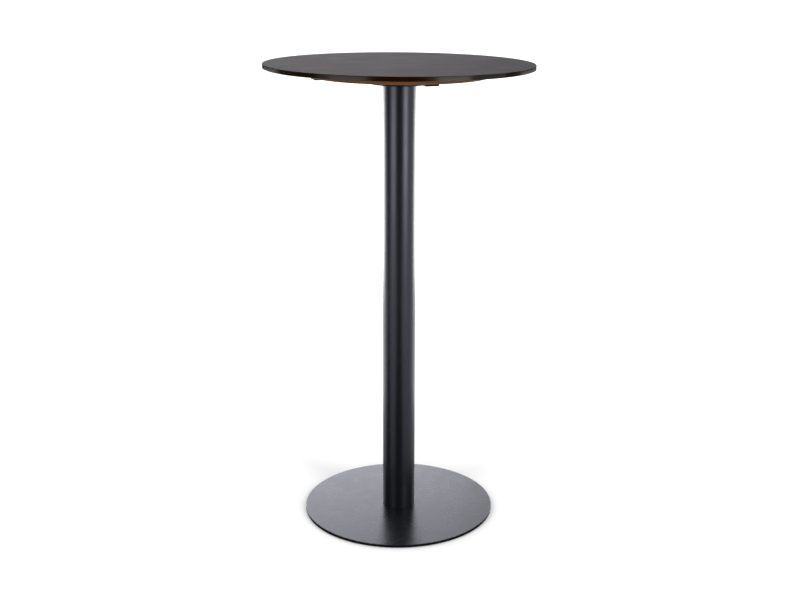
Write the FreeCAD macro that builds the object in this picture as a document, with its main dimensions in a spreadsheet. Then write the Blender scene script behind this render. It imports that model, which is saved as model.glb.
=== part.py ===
import FreeCAD, Part
import os

import Sketcher

# Round bar-height pedestal table.  Millimetres, +Z up.
# The origin is on the floor, on the column's axis, and the front of the table faces -Y.
#
# From the floor up: four levelling glides, a flat round base plate, a round column tube with a
# tapped plate welded into each end, a spider (a hub that carries four flat arms), a plywood
# backing disc and a round compact laminate top.

Z_AXIS = FreeCAD.Vector(0, 0, 1)

# ---------------------------------------------------------------------------
# Driving dimensions
# ---------------------------------------------------------------------------

DIMENSIONS = {
    # Levelling glides
    "glide_count": 4,
    "glide_circle": 390,                # diameter of the circle that they stand on
    "glide_turn": 45,                   # angle of the first one
    "pad_diameter": 28,
    "pad_thickness": 2,
    "pad_edge": 0.6,
    "stem_diameter": 6,
    "stem_engaged": 4.7,                # length inside the base plate
    "stem_head_diameter": 12,
    "stem_head_thickness": 1,
    "stem_end_gap": 0.3,                # from the stem's end to the end of its hole
    # Base plate and its screws
    "base_diameter": 450,
    "base_thickness": 6,
    "base_edge": 1,
    "base_screw_count": 4,
    "base_screw_circle": 46,
    "base_screw_diameter": 8,
    "base_screw_length": 14,
    "base_screw_head": 16,
    # Column
    "column_diameter": 76,
    "column_wall": 2,
    "column_length": 1010,
    "foot_plate_thickness": 10,
    "head_plate_thickness": 8,
    "end_plate_bore": 16,
    # Spider: hub, arms, bolts and washers
    "hub_diameter": 140,
    "hub_height": 13,
    "hub_bore": 20,
    "hub_edge": 1,
    "spider_turn": 20.2,                # angle of the first arm
    "arm_width": 30,
    "arm_thickness": 4,
    "arm_reach": 199,                   # from the column's axis to the arm's end
    "arm_root_gap": 0.6,                # keeps the inner ends of neighbouring arms apart
    "arm_corner": 3,
    "hub_bolt_circle": 52,
    "hub_bolt_diameter": 8,
    "hub_bolt_length": 30,
    "hub_bolt_flats": 13,
    "hub_bolt_head_height": 5.3,
    "hub_washer_diameter": 16,
    "hub_washer_thickness": 1.6,
    "arm_screw_inner": 95,              # from the column's axis to the first screw of an arm
    "arm_screw_outer": 175,             # and to the second
    "arm_screw_diameter": 4,
    "arm_screw_length": 18,
    "arm_screw_head": 8.4,
    # Backing disc
    "backing_diameter": 400,
    "backing_thickness": 17,
    "backing_edge": 0.8,
    "backing_bore": 84,                 # leaves room for the hub's bolt heads
    # Top, its screws and their inserts
    "top_diameter": 600,
    "top_thickness": 10,
    "top_edge": 0.8,
    "top_screw_count": 8,
    "top_screw_circle": 340,
    "top_screw_diameter": 6,
    "top_screw_head_diameter": 12,
    "top_screw_head_height": 3.6,
    "top_screw_seat_diameter": 14,      # counterbore in the backing disc
    "top_screw_seat_depth": 4.5,
    "top_screw_end_gap": 1,             # from the screw's end to the end of its insert
    "insert_diameter": 8.5,
    "insert_length": 7.5,
    # Clearances
    "screw_clearance": 0.5,             # added to a screw's diameter for a plain hole
    "thread_clearance": 0.1,            # added to a diameter for a tapped or pressed fit
    "plate_clearance": 0.2,             # from the tube's bore to an end plate's diameter
    "hole_end_gap": 0.5,                # from what a blind hole holds to the hole's end
}

doc = FreeCAD.newDocument("pub_table")
sheet = doc.addObject("Spreadsheet::Sheet", "Sizes")
for row, (alias, number) in enumerate(DIMENSIONS.items(), start=1):
    sheet.set("A%d" % row, alias.replace("_", " "))
    sheet.set("B%d" % row, str(number))
    sheet.setAlias("B%d" % row, alias)
doc.recompute()


def value(text):
    """The number that an expression gives."""
    return float(sheet.evalExpression(text))


# ---------------------------------------------------------------------------
# Levels above the floor, and sizes that follow from the sheet
# ---------------------------------------------------------------------------

ARM_NAMES = ("right", "back", "left", "front")      # in order of their angles
ARM_COUNT = str(len(ARM_NAMES))

BASE_UNDERSIDE = "Sizes.pad_thickness"
BASE_TOP = BASE_UNDERSIDE + " + Sizes.base_thickness"
COLUMN_TOP = BASE_TOP + " + Sizes.column_length"
HUB_TOP = COLUMN_TOP + " + Sizes.hub_height"
BACKING_UNDERSIDE = HUB_TOP + " + Sizes.arm_thickness"
TOP_UNDERSIDE = BACKING_UNDERSIDE + " + Sizes.backing_thickness"

COLUMN_BORE = "(Sizes.column_diameter - 2 * Sizes.column_wall)"
ARM_ROOT = "(Sizes.arm_width / 2 + Sizes.arm_root_gap)"
HUB_BOLT_LEVEL = BACKING_UNDERSIDE + " + Sizes.hub_washer_thickness - Sizes.hub_bolt_length"
HEXAGON_RADIUS = "(Sizes.hub_bolt_flats / sqrt(3))"
TOP_SCREW_GRIP = "(Sizes.backing_thickness - Sizes.top_screw_seat_depth)"
TOP_SCREW_LENGTH = "(" + TOP_SCREW_GRIP + " + Sizes.insert_length - Sizes.top_screw_end_gap)"
TOP_SCREW_OFFSET = "(180 / Sizes.top_screw_count)"       # from an arm to the next top screw
TOP_SCREW_TURN = "Sizes.spider_turn + " + TOP_SCREW_OFFSET


# ---------------------------------------------------------------------------
# Bodies, sketches and features
# ---------------------------------------------------------------------------

def new_body(label, level="0", turn="0"):
    """An empty body with its label, its height above the floor and its turn about Z."""
    body = doc.addObject("PartDesign::Body", label)
    body.Label = label
    body.Placement.Rotation = FreeCAD.Rotation(Z_AXIS, 1)
    body.setExpression("Placement.Base.z", level)
    body.setExpression("Placement.Rotation.Angle", turn)
    return body


def origin_feature(body, role):
    """One of the body's own origin planes or axes."""
    return next(item for item in body.Origin.OriginFeatures if item.Role == role)


def upright_sketch(body, name, across="0", turn="0"):
    """A sketch in a vertical plane, its origin at a radius and an angle about the body's Z."""
    sketch = body.newObject("Sketcher::SketchObject", body.Label + "_" + name)
    sketch.AttachmentSupport = [(origin_feature(body, "XZ_Plane"), "")]
    sketch.MapMode = "FlatFace"
    sketch.setExpression("AttachmentOffset.Base.x", "(%s) * cos(%s)" % (across, turn))
    sketch.setExpression("AttachmentOffset.Base.z", "-(%s) * sin(%s)" % (across, turn))
    return sketch


def flat_sketch(body, name, level="0"):
    """A sketch in a horizontal plane."""
    sketch = body.newObject("Sketcher::SketchObject", body.Label + "_" + name)
    sketch.AttachmentSupport = [(origin_feature(body, "XY_Plane"), "")]
    sketch.MapMode = "FlatFace"
    sketch.setExpression("AttachmentOffset.Base.z", level)
    return sketch


def bind(sketch, kind, axis, line, text):
    """Ties the start of a line to an expression along one of the sketch's axes."""
    if text == "0":
        sketch.addConstraint(Sketcher.Constraint("PointOnObject", line, 1, axis))
    else:
        number = sketch.addConstraint(Sketcher.Constraint(kind, -1, 1, line, 1, value(text)))
        sketch.setExpression("Constraints[%d]" % number, text)


def draw_polygon(sketch, points):
    """A closed outline through points whose coordinates are expressions."""
    corners = [FreeCAD.Vector(value(x), value(y), 0) for x, y in points]
    count = len(corners)
    for index in range(count):
        line = Part.LineSegment(corners[index], corners[(index + 1) % count])
        sketch.addGeometry(line, False)
    for index in range(count):
        joint = Sketcher.Constraint("Coincident", index, 2, (index + 1) % count, 1)
        sketch.addConstraint(joint)
    for index, (x, y) in enumerate(points):
        bind(sketch, "DistanceX", -2, index, x)
        bind(sketch, "DistanceY", -1, index, y)


def turned(body, name, points, across="0", turn="0", cut=False):
    """An outline of (radius, height) points turned once about its own vertical axis."""
    sketch = upright_sketch(body, name + "_outline", across, turn)
    draw_polygon(sketch, points)
    kind = "PartDesign::Groove" if cut else "PartDesign::Revolution"
    feature = body.newObject(kind, body.Label + "_" + name)
    feature.Profile = sketch
    feature.ReferenceAxis = (sketch, ["V_Axis"])
    feature.Angle = 360
    return feature


def raised(body, name, points, height, level="0"):
    """A flat outline of (x, y) points raised by a height from a level."""
    sketch = flat_sketch(body, name + "_outline", level)
    draw_polygon(sketch, points)
    feature = body.newObject("PartDesign::Pad", body.Label + "_" + name)
    feature.Profile = sketch
    feature.setExpression("Length", height)
    return feature


def around(body, name, features, count):
    """Copies of some features, spread evenly about the body's Z."""
    copies = body.newObject("PartDesign::PolarPattern", body.Label + "_" + name)
    copies.Originals = features
    copies.Axis = (origin_feature(body, "Z_Axis"), [""])
    copies.Angle = 360
    copies.setExpression("Occurrences", count)
    body.Tip = copies
    return copies


# ---------------------------------------------------------------------------
# Outlines that several pieces share
# ---------------------------------------------------------------------------

def half(diameter):
    """The radius, as an expression."""
    return "((%s) / 2)" % diameter


def rod(diameter, low, high):
    """Outline of a plain rod or hole."""
    return (("0", low), (half(diameter), low), (half(diameter), high), ("0", high))


def ring(outer, inner, low, high):
    """Outline of a plain tube, washer or plate with a bore."""
    return ((half(inner), low), (half(outer), low), (half(outer), high), (half(inner), high))


def countersunk(head, shank, length, inset="0"):
    """Outline of a 90 degree countersunk hole, or of its screw where inset holds the head back."""
    return (("0", "0"), (half(head) + " - " + inset, "0"),
            (half(shank), half(head) + " - " + half(shank) + " - " + inset),
            (half(shank), length), ("0", length))


def stepped(wide, narrow, low, step, high):
    """Outline of a rod or hole that is wide below a step and narrow above it."""
    return (("0", low), (half(wide), low), (half(wide), step),
            (half(narrow), step), (half(narrow), high), ("0", high))


# ---------------------------------------------------------------------------
# Glides
# ---------------------------------------------------------------------------

def make_glide_pad(label, turn):
    """Nylon pad, with a recess in its top for the stem's head."""
    body = new_body(label, "0", turn)
    recess = half("Sizes.stem_head_diameter + Sizes.thread_clearance")
    floor = "Sizes.pad_thickness - Sizes.stem_head_thickness"
    radius = half("Sizes.pad_diameter")
    points = (("0", "0"), (radius + " - Sizes.pad_edge", "0"), (radius, "Sizes.pad_edge"),
              (radius, "Sizes.pad_thickness"), (recess, "Sizes.pad_thickness"),
              (recess, floor), ("0", floor))
    turned(body, "disc", points, half("Sizes.glide_circle"))
    return body


def make_glide_stem(label, turn):
    """Threaded stem with a flat round head, which sits in the pad."""
    body = new_body(label, BASE_UNDERSIDE, turn)
    points = stepped("Sizes.stem_head_diameter", "Sizes.stem_diameter",
                     "-Sizes.stem_head_thickness", "0", "Sizes.stem_engaged")
    turned(body, "stem", points, half("Sizes.glide_circle"))
    return body


# ---------------------------------------------------------------------------
# Base
# ---------------------------------------------------------------------------

def make_base_plate():
    """Flat round plate with countersunk screw holes and blind tapped holes for the glides."""
    body = new_body("base_plate", BASE_UNDERSIDE, "Sizes.glide_turn")
    radius = half("Sizes.base_diameter")
    points = (("0", "0"), (radius, "0"), (radius, "Sizes.base_thickness - Sizes.base_edge"),
              (radius + " - Sizes.base_edge", "Sizes.base_thickness"), ("0", "Sizes.base_thickness"))
    turned(body, "disc", points)
    sunk = countersunk("Sizes.base_screw_head", "Sizes.base_screw_diameter + Sizes.screw_clearance",
                       "Sizes.base_thickness")
    hole = turned(body, "screw_hole", sunk, half("Sizes.base_screw_circle"), cut=True)
    around(body, "screw_holes", [hole], "Sizes.base_screw_count")
    blind = rod("Sizes.stem_diameter + Sizes.thread_clearance", "0",
                "Sizes.stem_engaged + Sizes.stem_end_gap")
    hole = turned(body, "glide_hole", blind, half("Sizes.glide_circle"), cut=True)
    around(body, "glide_holes", [hole], "Sizes.glide_count")
    return body


def make_base_screws():
    """Countersunk screws, up through the base plate into the column's foot plate."""
    body = new_body("base_screws", BASE_UNDERSIDE, "Sizes.glide_turn")
    points = countersunk("Sizes.base_screw_head", "Sizes.base_screw_diameter",
                         "Sizes.base_screw_length", "Sizes.thread_clearance")
    screw = turned(body, "screw", points, half("Sizes.base_screw_circle"))
    around(body, "screws", [screw], "Sizes.base_screw_count")
    return body


# ---------------------------------------------------------------------------
# Column
# ---------------------------------------------------------------------------

def make_column_tube():
    """Plain round tube that stands on the base plate."""
    body = new_body("column_tube", BASE_TOP)
    turned(body, "tube", ring("Sizes.column_diameter", COLUMN_BORE, "0", "Sizes.column_length"))
    return body


def make_end_plate(label, level, turn, thickness, circle, diameter, count):
    """Round plate that closes an end of the tube, with tapped holes on a circle."""
    body = new_body(label, level, turn)
    outer = COLUMN_BORE + " - Sizes.plate_clearance"
    turned(body, "disc", ring(outer, "Sizes.end_plate_bore", "0", thickness))
    tapped = rod(diameter + " + Sizes.thread_clearance", "0", thickness)
    hole = turned(body, "tapped_hole", tapped, half(circle), cut=True)
    around(body, "tapped_holes", [hole], count)
    return body


def make_foot_plate():
    """End plate at the bottom of the tube, for the base screws."""
    return make_end_plate("column_foot_plate", BASE_TOP,
                          "Sizes.glide_turn", "Sizes.foot_plate_thickness",
                          "Sizes.base_screw_circle", "Sizes.base_screw_diameter",
                          "Sizes.base_screw_count")


def make_head_plate():
    """End plate at the top of the tube, for the hub bolts."""
    return make_end_plate("column_head_plate", COLUMN_TOP + " - Sizes.head_plate_thickness",
                          "Sizes.spider_turn", "Sizes.head_plate_thickness",
                          "Sizes.hub_bolt_circle", "Sizes.hub_bolt_diameter", ARM_COUNT)


# ---------------------------------------------------------------------------
# Spider
# ---------------------------------------------------------------------------

def make_hub():
    """Round plate on the column's end, which carries the arms."""
    body = new_body("spider_hub", COLUMN_TOP, "Sizes.spider_turn")
    radius = half("Sizes.hub_diameter")
    bore = half("Sizes.hub_bore")
    points = ((bore, "0"), (radius + " - Sizes.hub_edge", "0"), (radius, "Sizes.hub_edge"),
              (radius, "Sizes.hub_height"), (bore, "Sizes.hub_height"))
    turned(body, "disc", points)
    plain = rod("Sizes.hub_bolt_diameter + Sizes.screw_clearance", "0", "Sizes.hub_height")
    hole = turned(body, "bolt_hole", plain, half("Sizes.hub_bolt_circle"), cut=True)
    around(body, "bolt_holes", [hole], ARM_COUNT)
    return body


def make_arm(label, turn):
    """Flat bar from the hub to the rim of the backing disc."""
    body = new_body(label, HUB_TOP, turn)
    side = "Sizes.arm_width / 2"
    corner = "Sizes.arm_corner"
    points = ((ARM_ROOT, "-" + side), ("Sizes.arm_reach - " + corner, "-" + side),
              ("Sizes.arm_reach", "-" + side + " + " + corner),
              ("Sizes.arm_reach", side + " - " + corner),
              ("Sizes.arm_reach - " + corner, side), (ARM_ROOT, side))
    raised(body, "bar", points, "Sizes.arm_thickness")
    plain = rod("Sizes.hub_bolt_diameter + Sizes.screw_clearance", "0", "Sizes.arm_thickness")
    turned(body, "bolt_hole", plain, half("Sizes.hub_bolt_circle"), cut=True)
    sunk = countersunk("Sizes.arm_screw_head", "Sizes.arm_screw_diameter + Sizes.screw_clearance",
                       "Sizes.arm_thickness")
    turned(body, "inner_screw_hole", sunk, "Sizes.arm_screw_inner", cut=True)
    turned(body, "outer_screw_hole", sunk, "Sizes.arm_screw_outer", cut=True)
    return body


def make_arm_screws():
    """Countersunk wood screws, up through the arms into the backing disc."""
    body = new_body("arm_screws", HUB_TOP, "Sizes.spider_turn")
    points = countersunk("Sizes.arm_screw_head", "Sizes.arm_screw_diameter", "Sizes.arm_screw_length",
                         "Sizes.thread_clearance")
    inner = turned(body, "inner_screw", points, "Sizes.arm_screw_inner")
    outer = turned(body, "outer_screw", points, "Sizes.arm_screw_outer")
    around(body, "screws", [inner, outer], ARM_COUNT)
    return body


def make_hub_bolts():
    """Hexagon bolts, down through the washers, arms and hub into the column's head plate."""
    body = new_body("hub_bolts", HUB_BOLT_LEVEL, "Sizes.spider_turn")
    centre = half("Sizes.hub_bolt_circle")
    head_middle = "Sizes.hub_bolt_length + Sizes.hub_bolt_head_height / 2"
    shank = turned(body, "shank", rod("Sizes.hub_bolt_diameter", "0", head_middle), centre)
    hexagon = [("%s + %s * cos(%d)" % (centre, HEXAGON_RADIUS, angle),
                "%s * sin(%d)" % (HEXAGON_RADIUS, angle)) for angle in range(30, 390, 60)]
    head = raised(body, "head", hexagon, "Sizes.hub_bolt_head_height", "Sizes.hub_bolt_length")
    around(body, "bolts", [shank, head], ARM_COUNT)
    return body


def make_hub_washers():
    """Flat washers between the bolt heads and the arms."""
    body = new_body("hub_washers", BACKING_UNDERSIDE, "Sizes.spider_turn")
    bore = "Sizes.hub_bolt_diameter + Sizes.screw_clearance"
    points = ring("Sizes.hub_washer_diameter", bore, "0", "Sizes.hub_washer_thickness")
    washer = turned(body, "washer", points, half("Sizes.hub_bolt_circle"))
    around(body, "washers", [washer], ARM_COUNT)
    return body


# ---------------------------------------------------------------------------
# Top
# ---------------------------------------------------------------------------

def make_backing_disc():
    """Plywood disc with a bore over the hub, counterbored and pilot holes for the screws."""
    body = new_body("backing_disc", BACKING_UNDERSIDE, "Sizes.spider_turn")
    radius = half("Sizes.backing_diameter")
    bore = half("Sizes.backing_bore")
    points = ((bore, "0"), (radius + " - Sizes.backing_edge", "0"), (radius, "Sizes.backing_edge"),
              (radius, "Sizes.backing_thickness"), (bore, "Sizes.backing_thickness"))
    turned(body, "disc", points)
    seat = stepped("Sizes.top_screw_seat_diameter", "Sizes.top_screw_diameter + Sizes.screw_clearance",
                   "0", "Sizes.top_screw_seat_depth", "Sizes.backing_thickness")
    hole = turned(body, "top_screw_hole", seat, half("Sizes.top_screw_circle"), TOP_SCREW_OFFSET,
                  cut=True)
    around(body, "top_screw_holes", [hole], "Sizes.top_screw_count")
    pilot = rod("Sizes.arm_screw_diameter + Sizes.thread_clearance", "0",
                "Sizes.arm_screw_length - Sizes.arm_thickness + Sizes.hole_end_gap")
    inner = turned(body, "inner_pilot_hole", pilot, "Sizes.arm_screw_inner", cut=True)
    outer = turned(body, "outer_pilot_hole", pilot, "Sizes.arm_screw_outer", cut=True)
    around(body, "pilot_holes", [inner, outer], ARM_COUNT)
    return body


def make_top_inserts():
    """Threaded inserts, pressed into blind holes in the underside of the top."""
    body = new_body("top_inserts", TOP_UNDERSIDE, TOP_SCREW_TURN)
    bore = "Sizes.top_screw_diameter + Sizes.thread_clearance"
    insert = turned(body, "insert", ring("Sizes.insert_diameter", bore, "0", "Sizes.insert_length"),
                    half("Sizes.top_screw_circle"))
    around(body, "inserts", [insert], "Sizes.top_screw_count")
    return body


def make_top_screws():
    """Pan head screws, up through the backing disc into the inserts."""
    body = new_body("top_screws", BACKING_UNDERSIDE + " + Sizes.top_screw_seat_depth", TOP_SCREW_TURN)
    points = stepped("Sizes.top_screw_head_diameter", "Sizes.top_screw_diameter",
                     "-Sizes.top_screw_head_height", "0", TOP_SCREW_LENGTH)
    screw = turned(body, "screw", points, half("Sizes.top_screw_circle"))
    around(body, "screws", [screw], "Sizes.top_screw_count")
    return body


def make_table_top():
    """Compact laminate panel with broken edges and blind holes for the inserts."""
    body = new_body("table_top", TOP_UNDERSIDE, TOP_SCREW_TURN)
    radius = half("Sizes.top_diameter")
    points = (("0", "0"), (radius + " - Sizes.top_edge", "0"), (radius, "Sizes.top_edge"),
              (radius, "Sizes.top_thickness - Sizes.top_edge"),
              (radius + " - Sizes.top_edge", "Sizes.top_thickness"), ("0", "Sizes.top_thickness"))
    turned(body, "panel", points)
    blind = rod("Sizes.insert_diameter + Sizes.thread_clearance", "0",
                "Sizes.insert_length + Sizes.hole_end_gap")
    hole = turned(body, "insert_hole", blind, half("Sizes.top_screw_circle"), cut=True)
    around(body, "insert_holes", [hole], "Sizes.top_screw_count")
    return body


# ---------------------------------------------------------------------------
# The table
# ---------------------------------------------------------------------------

def make_table():
    """Every sub-part of the table, from the floor up."""
    bodies = []
    for index in range(int(value("Sizes.glide_count"))):
        turn = "Sizes.glide_turn + %d * 360 / Sizes.glide_count" % index
        bodies.append(make_glide_pad("glide_pad_%d" % (index + 1), turn))
        bodies.append(make_glide_stem("glide_stem_%d" % (index + 1), turn))
    bodies += [make_base_plate(), make_base_screws()]
    bodies += [make_column_tube(), make_foot_plate(), make_head_plate()]
    bodies += [make_hub(), make_hub_bolts(), make_hub_washers()]
    for index, name in enumerate(ARM_NAMES):
        turn = "Sizes.spider_turn + %d * 360 / %s" % (index, ARM_COUNT)
        bodies.append(make_arm("spider_arm_" + name, turn))
    bodies += [make_arm_screws(), make_backing_disc()]
    bodies += [make_top_inserts(), make_top_screws(), make_table_top()]
    return bodies


def check_document(bodies):
    """Stops with a message if a feature failed, cut nothing or left no valid shape."""
    for item in doc.Objects:
        if "Invalid" in item.State or "Error" in item.State:
            raise RuntimeError("%s did not build: %s" % (item.Label, item.State))
        if item.TypeId == "PartDesign::Groove":
            if item.Shape.Volume >= item.BaseFeature.Shape.Volume:
                raise RuntimeError("%s cut nothing" % item.Label)
    for body in bodies:
        if body.Shape.isNull() or not body.Shape.isValid():
            raise RuntimeError("%s has no valid shape" % body.Label)


def write_parts(bodies):
    """Writes each sub-part to parts/, named for its label."""
    os.makedirs("parts", exist_ok=True)
    for body in bodies:
        body.Shape.exportStep("parts/%s.step" % body.Label)
        print("%-20s %2d solids %12.1f mm3" % (body.Label, len(body.Shape.Solids),
                                              body.Shape.Volume))


table = make_table()
doc.recompute()
check_document(table)
write_parts(table)
print("height of the top: %.1f mm" % value(TOP_UNDERSIDE + " + Sizes.top_thickness"))
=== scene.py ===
import math

import bmesh
import bpy
from bpy.props import FloatProperty, FloatVectorProperty, IntProperty, PointerProperty
from mathutils import Matrix, Vector


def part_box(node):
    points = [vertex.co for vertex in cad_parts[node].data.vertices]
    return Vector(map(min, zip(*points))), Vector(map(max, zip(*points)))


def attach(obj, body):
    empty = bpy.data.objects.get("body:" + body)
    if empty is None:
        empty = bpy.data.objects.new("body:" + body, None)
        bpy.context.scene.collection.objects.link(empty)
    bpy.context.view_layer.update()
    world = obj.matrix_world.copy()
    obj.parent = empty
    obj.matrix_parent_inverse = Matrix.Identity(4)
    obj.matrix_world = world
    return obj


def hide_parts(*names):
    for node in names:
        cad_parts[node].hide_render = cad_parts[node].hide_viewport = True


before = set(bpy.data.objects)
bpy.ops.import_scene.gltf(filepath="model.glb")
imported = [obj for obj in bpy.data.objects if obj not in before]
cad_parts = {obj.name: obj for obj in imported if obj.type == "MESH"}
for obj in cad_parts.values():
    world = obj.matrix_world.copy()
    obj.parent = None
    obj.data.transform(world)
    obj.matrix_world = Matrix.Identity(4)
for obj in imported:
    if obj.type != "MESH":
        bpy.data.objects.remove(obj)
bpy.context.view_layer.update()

bl_info = {
    "name": "Pub Table",
    "version": (1, 0, 0),
    "blender": (4, 5, 0),
    "location": "3D View > Sidebar > Pub Table",
    "description": "Dresses the frame of a tall round table with its finished pieces, and sets its stage",
    "category": "Object",
}

TABLE = "table"                         # the body that everything but the glides rides on
ARMS = ("right", "back", "left", "front")
GLIDES = (1, 2, 3, 4)

LARGE_ROUND = 256                       # sides of the discs
TUBE_ROUND = 160                        # sides of the column and the hub
SMALL_ROUND = 48                        # sides of screws, holes and pads
TOUCH = 0.00002                         # how near a point counts as on a ring or a level
SMOOTH_ANGLE = math.radians(35)
OVERSHOOT = 0.001                       # how far a cutting tool runs past the face it enters
SCREW_TWIST = math.radians(47)          # how far each screw stopped past the one before


def linear(code):
    """An sRGB hex colour as linear red, green, blue and alpha."""
    channels = [int(code[start:start + 2], 16) / 255 for start in (0, 2, 4)]
    curved = [c / 12.92 if c <= 0.04045 else ((c + 0.055) / 1.055) ** 2.4 for c in channels]
    return (*curved, 1.0)


def radius_of(node):
    """Half the widest side of a round CAD node, to a tenth of a millimetre."""
    low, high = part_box(node)
    return round(max(high.x - low.x, high.y - low.y) / 2, 4)


def levels_of(node):
    """The lowest and highest level of a CAD node, to a hundredth of a millimetre."""
    low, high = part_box(node)
    return round(low.z, 5), round(high.z, 5)


def middle_of(node):
    """The point at the middle of a CAD node's box."""
    low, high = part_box(node)
    return (low + high) / 2


# ---------------------------------------------------------------------------
# Sizes and colours
# ---------------------------------------------------------------------------

def length(name, description, default):
    """A length that can be set, in metres."""
    return FloatProperty(name=name, description=description, default=default, min=0.0,
                         precision=4, unit="LENGTH")


def colour(name, description, code):
    """A colour that can be set."""
    return FloatVectorProperty(name=name, description=description, default=linear(code),
                               size=4, min=0.0, max=1.0, subtype="COLOR")


def share(name, description, default):
    """A share from 0 to 1 that can be set."""
    return FloatProperty(name=name, description=description, default=default, min=0.0, max=1.0,
                         subtype="FACTOR")


def brightness(name, description, default):
    """A brightness that can be set, where 1 is the white of the background."""
    return FloatProperty(name=name, description=description, default=default, min=0.0)


class PubTableTop(bpy.types.PropertyGroup):
    """The laminate panel and the plywood disc under it."""

    arris: length("Arris", "Radius of the rounded edges of the laminate panel", 0.0008)
    face_colour: colour("Face", "Decor face of the laminate", "251c27")
    face_roughness: share("Face roughness", "Roughness of the decor face", 0.72)
    edge_colour: colour("Edge", "Machined edge of the laminate's core", "120802")
    ply_count: IntProperty(name="Plies", description="Number of veneers in the plywood disc",
                           default=13, min=3, max=25)
    ply_step: length("Ply step", "How far the cross veneers stand back on the cut edge", 0.00012)
    ply_arris: length("Ply arris", "Radius of the sanded lower edge of the plywood disc", 0.0008)
    bore: length("Bore", "Radius of the hole over the hub", 0.042)
    wood_colour: colour("Wood", "Long grain of the plywood", "6c4725")
    cross_colour: colour("End grain", "End grain of the plywood", "4f3319")
    glue_colour: colour("Glue", "Glue lines of the plywood", "281606")


class PubTableSteel(bpy.types.PropertyGroup):
    """The column, the base and the spider."""

    wall: length("Wall", "Wall of the column's tube", 0.002)
    tube_arris: length("Tube arris", "Radius of the deburred ends of the tube", 0.0003)
    plate_arris: length("Plate arris", "Radius of the base plate's upper edge", 0.001)
    under_arris: length("Lower arris", "Radius of the base plate's lower edge", 0.0004)
    hub_bore: length("Hub bore", "Radius of the hub's middle hole", 0.010)
    hub_arris: length("Hub arris", "Radius of the hub's lower edge", 0.001)
    arm_width: length("Arm width", "Width of an arm", 0.030)
    arm_root: length("Arm root", "Distance from the axis to an arm's inner end", 0.0156)
    arm_reach: length("Arm reach", "Distance from the axis to an arm's outer end", 0.199)
    arm_corner: length("Arm corner", "Radius of an arm's outer corners", 0.003)
    arm_arris: length("Arm arris", "Radius of an arm's edges", 0.0003)
    coat_colour: colour("Coat", "Powder coat of the column and the base", "0c0c0f")
    tube_tint: colour("Tube tint", "Tint of the sheen on the column's coat", "d2d6e8")
    plate_tint: colour("Plate tint", "Tint of the sheen on the base plate's coat", "ccd6ff")
    tube_roughness: share("Tube roughness", "Roughness of the column's coat", 0.31)
    plate_roughness: share("Plate roughness", "Roughness of the base plate's coat", 0.28)
    tube_grain: share("Tube grain", "Strength of the grain in the column's coat", 0.2)
    plate_grain: share("Plate grain", "Strength of the grain in the base plate's coat", 0.05)
    paint_colour: colour("Paint", "Paint of the spider", "050505")


class PubTableFixings(bpy.types.PropertyGroup):
    """Screws, their holes and the glides."""

    arm_screw_inner: length("Inner arm screw", "Distance from the axis to an arm's first screw", 0.095)
    arm_screw_outer: length("Outer arm screw", "Distance from the axis to its second", 0.175)
    arm_screw_head: length("Arm screw head", "Radius of a wood screw's head", 0.0041)
    arm_screw_shank: length("Arm screw shank", "Radius of a wood screw's shank", 0.002)
    arm_screw_length: length("Arm screw length", "Length of a wood screw with its head", 0.018)
    top_screw_circle: length("Top screw circle", "Distance from the axis to a top screw", 0.170)
    top_screw_head: length("Top screw head", "Radius of a top screw's head", 0.006)
    top_screw_rise: length("Top screw head height", "Height of a top screw's head", 0.0036)
    top_screw_shank: length("Top screw shank", "Radius of a top screw's thread", 0.003)
    top_screw_grip: length("Top screw length", "Length of a top screw below its head", 0.020)
    seat_radius: length("Seat", "Radius of the counterbore for a top screw", 0.007)
    seat_depth: length("Seat depth", "Depth of that counterbore", 0.0045)
    insert_radius: length("Insert", "Radius of the hole for a threaded insert", 0.0043)
    insert_depth: length("Insert depth", "Depth of that hole", 0.008)
    base_screw_circle: length("Base screw circle", "Distance from the axis to a base screw", 0.023)
    base_screw_head: length("Base screw head", "Radius of a base screw's head", 0.0079)
    base_screw_shank: length("Base screw shank", "Radius of a base screw's thread", 0.004)
    base_screw_length: length("Base screw length", "Length of a base screw with its head", 0.014)
    hub_bolt_circle: length("Hub bolt circle", "Distance from the axis to a hub bolt", 0.026)
    hub_bolt_shank: length("Hub bolt shank", "Radius of a hub bolt's thread", 0.004)
    hole_gap: length("Hole gap", "Gap round a screw in a plain hole", 0.00025)
    stem_radius: length("Stem", "Radius of a glide's stem", 0.003)
    stem_head_radius: length("Stem head", "Radius of the stem's head in the pad", 0.006)
    stem_head_rise: length("Stem head height", "Height of the stem's head", 0.001)
    stem_engaged: length("Stem hole", "Depth of a stem's hole in the base plate", 0.005)
    thread_gap: length("Thread gap", "Gap round a screw in a tapped hole", 0.00005)
    pad_arris: length("Pad arris", "Radius of a glide pad's lower edge", 0.0006)


class PubTableStage(bpy.types.PropertyGroup):
    """Camera, lamps and floor."""

    lens: FloatProperty(name="Lens", description="Focal length in millimetres on a 36 mm sensor",
                        default=53.48, min=1.0)
    distance: length("Distance", "Distance from the column's axis to the camera", 2.65082)
    height: length("Height", "Height of the camera above the floor", 1.2939)
    pitch: FloatProperty(name="Pitch", description="How far the camera looks down",
                         default=math.radians(16.264), subtype="ANGLE")
    yaw: FloatProperty(name="Yaw", description="How far the camera looks to the right",
                       default=math.radians(1.569), subtype="ANGLE")
    roll: FloatProperty(name="Roll", description="How far the camera is turned about its own axis",
                        default=math.radians(0.573), subtype="ANGLE")
    shift: FloatProperty(name="Shift", description="Sideways shift of the lens, in picture widths",
                         default=-0.038)
    room_light: brightness("Room light", "Brightness of the even light all round", 0.75)
    lamp_light: brightness("Lamp light", "Share of the lamps' brightness", 1.0)


# ---------------------------------------------------------------------------
# Modelling
# ---------------------------------------------------------------------------

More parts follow.
